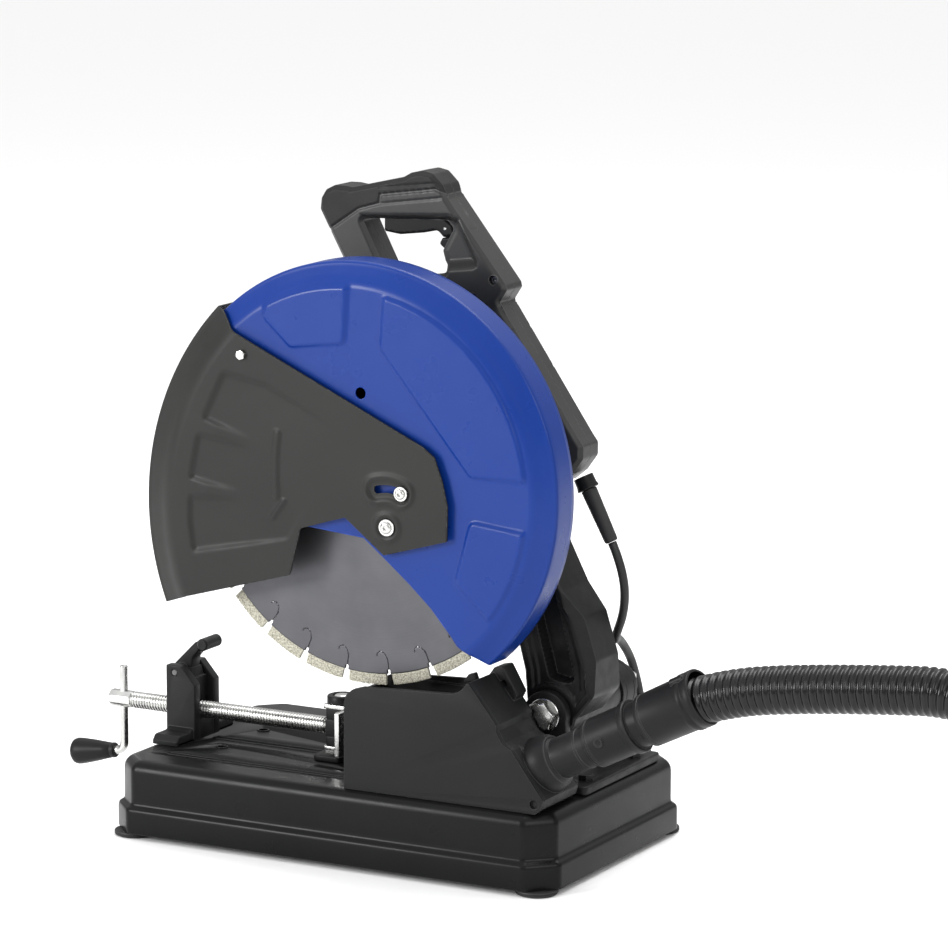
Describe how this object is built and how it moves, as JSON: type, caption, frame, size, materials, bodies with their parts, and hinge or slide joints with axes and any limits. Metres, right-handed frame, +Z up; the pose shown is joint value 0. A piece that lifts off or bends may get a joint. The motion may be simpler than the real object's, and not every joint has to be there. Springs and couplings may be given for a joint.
{
  "type": "dry cutting chop saw",
  "caption": "Bench chop saw with a segmented dry-cutting blade, blue upper guard, swinging front guard, screw vise, dust box and vacuum hose.",
  "frame": {"origin": "centre of the four rubber feet on the floor plane", "axes": "+X along the base from the vise crank to the rear pivot, +Y from the guard side to the motor side, +Z up"},
  "size_m": [1.3258, 0.4919, 0.6065],
  "materials": {
    "black_coated_steel": "glossy black powder coat",
    "foot_rubber": "matte black rubber",
    "zinc_steel": "bright zinc plating",
    "black_casting": "black painted casting",
    "black_plastic": "matte black plastic",
    "hose_plastic": "glossy ribbed black plastic",
    "cord_rubber": "black rubber",
    "spring_steel": "oiled spring steel",
    "black_aluminium": "black painted aluminium casting",
    "machined_steel": "machined steel",
    "handle_plastic": "dark grey moulded plastic",
    "grip_rubber": "fine textured dark grey plastic",
    "blade_steel": "ground grey steel",
    "diamond_segment": "rough sintered metal",
    "blue_paint": "glossy royal blue paint",
    "grey_coated_steel": "matte dark grey powder coat"
  },
  "bodies": {
    "base": {"base_pan": "black_coated_steel", "rubber_feet": "foot_rubber", "deck_bolts": "zinc_steel", "vise_nut_block": "black_casting", "lever_pin": "zinc_steel", "fence": "black_coated_steel", "dust_box_plate": "black_coated_steel", "dust_box": "black_plastic", "hose_adapter": "black_plastic", "hose_cuff": "black_plastic", "hose": "hose_plastic", "hose_end_cuff": "black_plastic", "pivot_bracket": "black_casting", "pivot_bolt": "zinc_steel", "pivot_nut_and_washers": "zinc_steel", "spring_cover": "black_plastic", "return_spring": "spring_steel", "mains_cord": "cord_rubber", "cord_coil": "cord_rubber", "mains_plug": "cord_rubber"},
    "head": {"arm": "black_aluminium", "gear_housing": "black_aluminium", "gear_cover": "black_aluminium", "housing_screws": "zinc_steel", "bearings": "machined_steel", "stator": "machined_steel", "motor_housing": "handle_plastic", "motor_end_cap": "handle_plastic", "brush_holders": "black_plastic", "upper_guard": "blue_paint", "guard_back_plate": "blue_paint", "guard_pivot_screws": "zinc_steel", "handle_front_half": "handle_plastic", "handle_back_half": "handle_plastic", "grip_cover": "grip_rubber", "handle_screws": "zinc_steel", "cord_gland": "cord_rubber", "cord_boot": "cord_rubber"},
    "blade": {"spindle": "machined_steel", "drive_gear": "machined_steel", "blade_core": "blade_steel", "blade_segments": "diamond_segment", "inner_flange": "machined_steel", "outer_flange": "machined_steel", "arbor_bolt": "zinc_steel"},
    "motor_rotor": {"motor_shaft": "machined_steel", "rotor": "machined_steel"},
    "front_guard": {"front_guard": "grey_coated_steel", "guard_hex_bolt": "zinc_steel"},
    "trigger": {"trigger": "handle_plastic"},
    "trigger_lock": {"trigger_lock": "handle_plastic"},
    "jaw": {"vise_jaw": "zinc_steel", "jaw_swivel_block": "black_casting", "jaw_lock_disc": "black_plastic", "jaw_swivel_bolt": "zinc_steel", "jaw_glide": "black_plastic"},
    "screw": {"vise_screw": "zinc_steel", "crank_rod": "zinc_steel"},
    "knob": {"crank_knob": "black_plastic"},
    "nut_lever": {"nut_release_lever": "black_casting"}
  },
  "joints": [
    {"name": "head_tilt", "type": "hinge", "parent": "base", "child": "head", "pos_m": [0.174, 0.02, 0.14], "axis": [0, -1, 0], "range_deg": [0, 32], "stiffness_Nm_per_rad": 25, "springref_deg": -63.03},
    {"name": "blade_spin", "type": "hinge", "parent": "head", "child": "blade", "pos_m": [0.023, -0.094, 0.336], "axis": [0, 1, 0], "continuous": true},
    {"name": "rotor_spin", "type": "hinge", "parent": "head", "child": "motor_rotor", "pos_m": [0.05196, 0.02, 0.37798], "axis": [0, 1, 0], "continuous": true},
    {"name": "front_guard_lift", "type": "hinge", "parent": "head", "child": "front_guard", "pos_m": [0.06, -0.125, 0.311], "axis": [0, 1, 0], "range_deg": [0, 40]},
    {"name": "trigger_pull", "type": "hinge", "parent": "head", "child": "trigger", "pos_m": [-0.013, 0.022, 0.571], "axis": [0, -1, 0], "range_deg": [0, 7], "stiffness_Nm_per_rad": 0.5, "springref_deg": -17.19},
    {"name": "trigger_lock_push", "type": "hinge", "parent": "trigger", "child": "trigger_lock", "pos_m": [0.04, 0.022, 0.555], "axis": [0, 1, 0], "range_deg": [0, 10], "stiffness_Nm_per_rad": 0.05, "springref_deg": -17.19},
    {"name": "jaw_slide", "type": "slide", "parent": "base", "child": "jaw", "axis": [1, 0, 0], "range_m": [-0.1065, 0.0465]},
    {"name": "screw_spin", "type": "hinge", "parent": "jaw", "child": "screw", "pos_m": [-0.2, -0.02, 0.0975], "axis": [1, 0, 0], "range_deg": [-12780, 5580]},
    {"name": "knob_spin", "type": "hinge", "parent": "screw", "child": "knob", "pos_m": [-0.281, -0.02, 0.048], "axis": [-0.9903, 0, -0.1392], "continuous": true},
    {"name": "nut_lever_lift", "type": "hinge", "parent": "base", "child": "nut_lever", "pos_m": [-0.212, -0.02, 0.134], "axis": [0, -1, 0], "range_deg": [0, 65]}
  ],
  "couplings": [
    {"joint": "rotor_spin", "follows": "blade_spin", "ratio": -4.6667},
    {"joint": "front_guard_lift", "follows": "head_tilt", "ratio": 1.25},
    {"joint": "jaw_slide", "follows": "screw_spin", "m_per_rad": 0.00047746}
  ]
}
